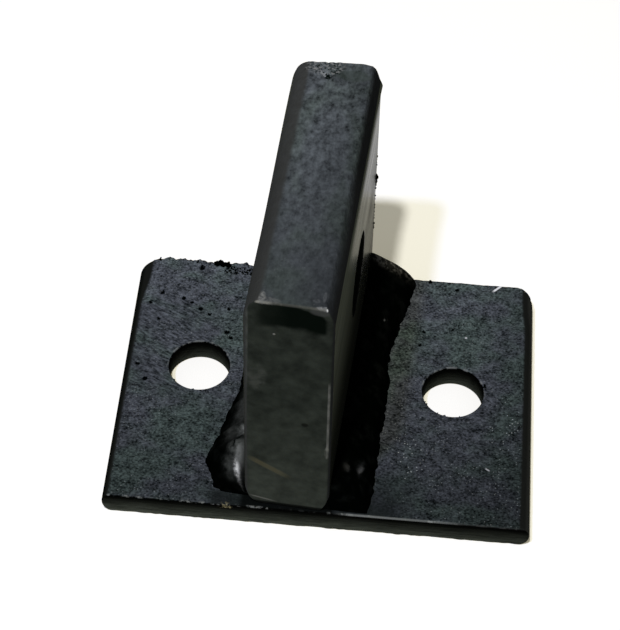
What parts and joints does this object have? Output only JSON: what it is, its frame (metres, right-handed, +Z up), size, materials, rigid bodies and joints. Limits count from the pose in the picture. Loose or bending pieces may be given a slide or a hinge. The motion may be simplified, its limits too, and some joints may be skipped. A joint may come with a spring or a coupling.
{
  "type": "padlock hasp",
  "caption": "Bolt-on padlock hasp: a thick flat bar with a padlock hole, welded on edge across a base plate with drilled fixing holes.",
  "frame": {"origin": "middle of the base plate's underside", "axes": "+X across the plate to the right, +Y to the back along the lock bar, +Z up out of the plate"},
  "size_m": [0.08, 0.0598, 0.064],
  "materials": {
    "plate_paint": "satin black paint over speckled mill scale",
    "bar_paint": "satin black paint over mill scale, worn brighter along the cut edges",
    "weld_paint": "glossy black paint run over the weld"
  },
  "bodies": {
    "root": {"base_plate": "plate_paint", "lock_bar": "bar_paint", "weld_left": "weld_paint", "weld_right": "weld_paint"}
  },
  "joints": []
}
